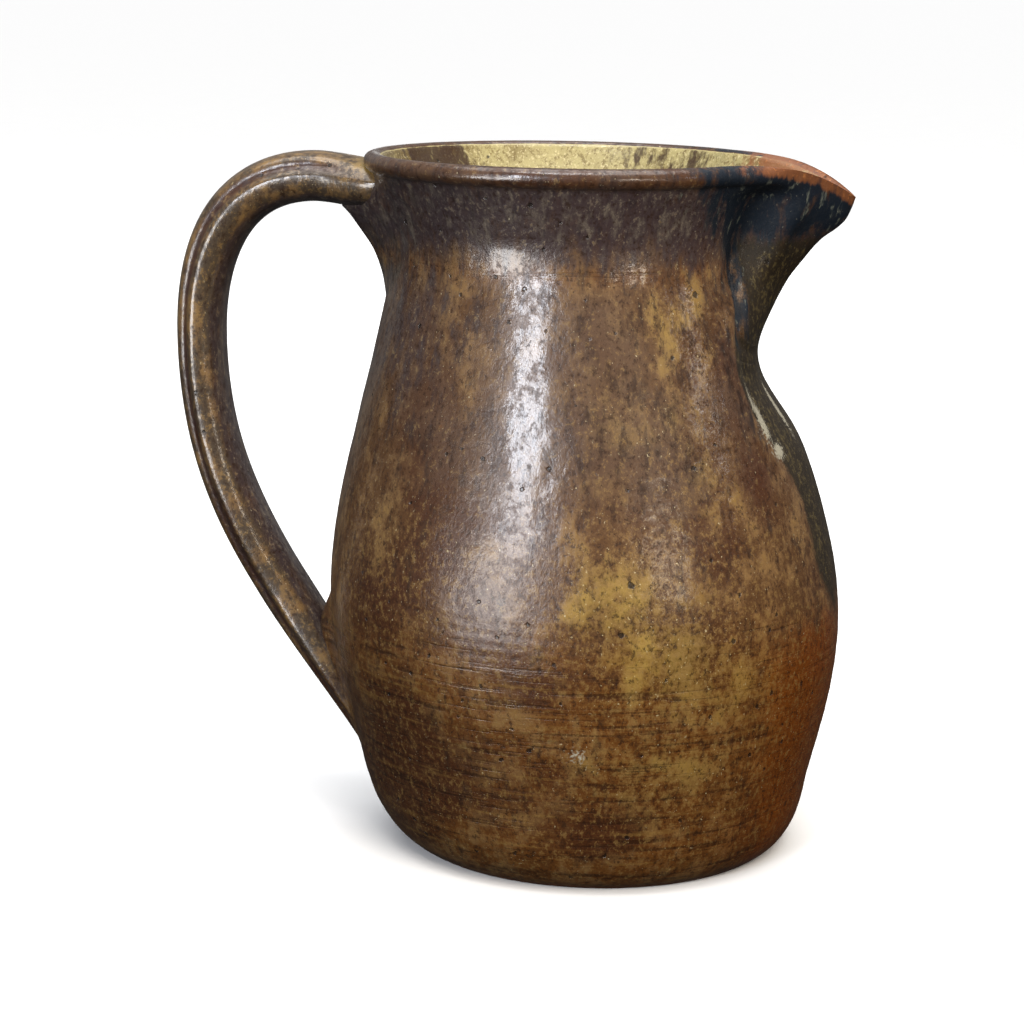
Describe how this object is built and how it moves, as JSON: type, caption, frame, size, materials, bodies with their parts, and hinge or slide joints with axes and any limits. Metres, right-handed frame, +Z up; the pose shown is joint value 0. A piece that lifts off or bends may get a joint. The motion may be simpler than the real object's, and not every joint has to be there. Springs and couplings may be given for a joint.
{
  "type": "pottery pitcher",
  "caption": "Hand-thrown brown-glazed stoneware pitcher: round belly, flared collar, deep beak spout and pulled strap handle, for holding and pouring liquids.",
  "frame": {"origin": "centre of the flat foot, on the surface that the pitcher stands on", "axes": "+Z up along the height, +X towards the spout, -X towards the handle, +Y to the left of the spout"},
  "size_m": [0.2091, 0.1592, 0.215],
  "materials": {
    "body_glaze": "mottled brown and olive ash glaze, satin gloss",
    "spout_glaze": "blue-black and olive ash glaze with a bare orange lip",
    "handle_glaze": "olive-brown ash glaze, satin gloss"
  },
  "bodies": {
    "root": {"thrown_body": "body_glaze", "beak_spout": "spout_glaze", "spout_seam_coil": "spout_glaze", "strap_handle": "handle_glaze", "upper_joint_clay": "handle_glaze", "lower_joint_clay": "handle_glaze"}
  },
  "joints": []
}
